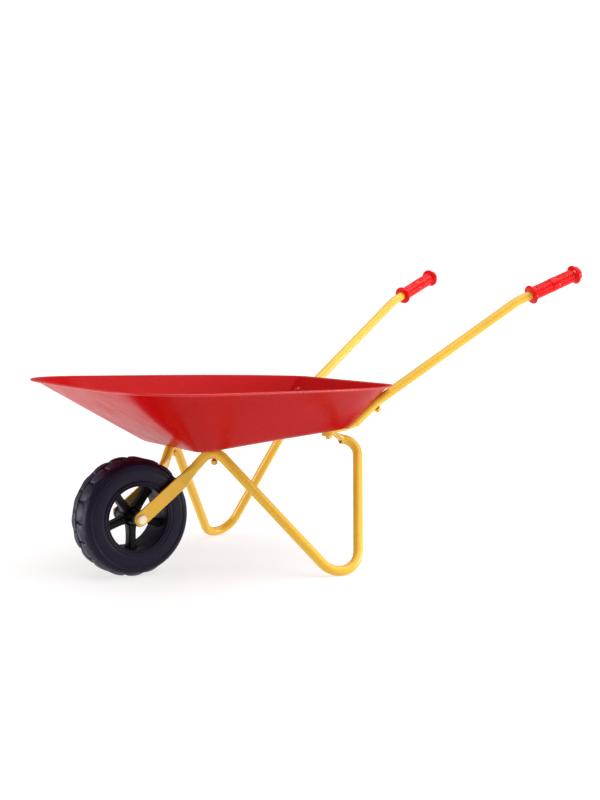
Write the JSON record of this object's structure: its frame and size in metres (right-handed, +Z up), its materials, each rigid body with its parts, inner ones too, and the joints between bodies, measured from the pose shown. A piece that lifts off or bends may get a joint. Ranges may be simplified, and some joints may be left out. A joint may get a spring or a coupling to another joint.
{
  "type": "wheelbarrow",
  "caption": "Child's wheelbarrow with a pressed steel tray on a bent tube frame, ribbed hand grips and a lugged plastic wheel.",
  "frame": {"origin": "on the ground, on the mid plane, at the middle of the overall length", "axes": "+Z up, +X towards the handles, +Y to the left of a person pushing towards -X"},
  "size_m": [0.7345, 0.4012, 0.4049],
  "materials": {
    "tray_paint": "high gloss red enamel",
    "frame_paint": "gloss yellow enamel",
    "grip_plastic": "moulded gloss",
    "wheel_plastic": "moulded satin",
    "plated_steel": "zinc plated",
    "axle_cap": "cream lacquer",
    "washer_plastic": "moulded",
    "bolt_red": "gloss red enamel"
  },
  "bodies": {
    "frame": {"tray": "tray_paint", "leg_tube_left": "frame_paint", "leg_tube_right": "frame_paint", "handle_tube_left": "frame_paint", "handle_tube_right": "frame_paint", "grip_left": "grip_plastic", "grip_right": "grip_plastic", "hub_sleeve": "plated_steel", "axle_washers": "washer_plastic", "axle_bolt": "axle_cap", "axle_nut": "plated_steel", "floor_front_bolts": "bolt_red", "floor_front_washers": "plated_steel", "floor_front_nuts": "plated_steel", "floor_rear_bolts": "bolt_red", "floor_rear_washers": "plated_steel", "floor_rear_nuts": "plated_steel", "wall_bolts": "bolt_red", "wall_washers": "plated_steel", "wall_nuts": "plated_steel"},
    "wheel": {"wheel_half_left": "wheel_plastic", "wheel_half_right": "wheel_plastic"}
  },
  "joints": [
    {"name": "wheel_spin", "type": "hinge", "parent": "frame", "child": "wheel", "pos_m": [-0.2798, 0, 0.0765], "axis": [0, 1, 0], "continuous": true}
  ]
}
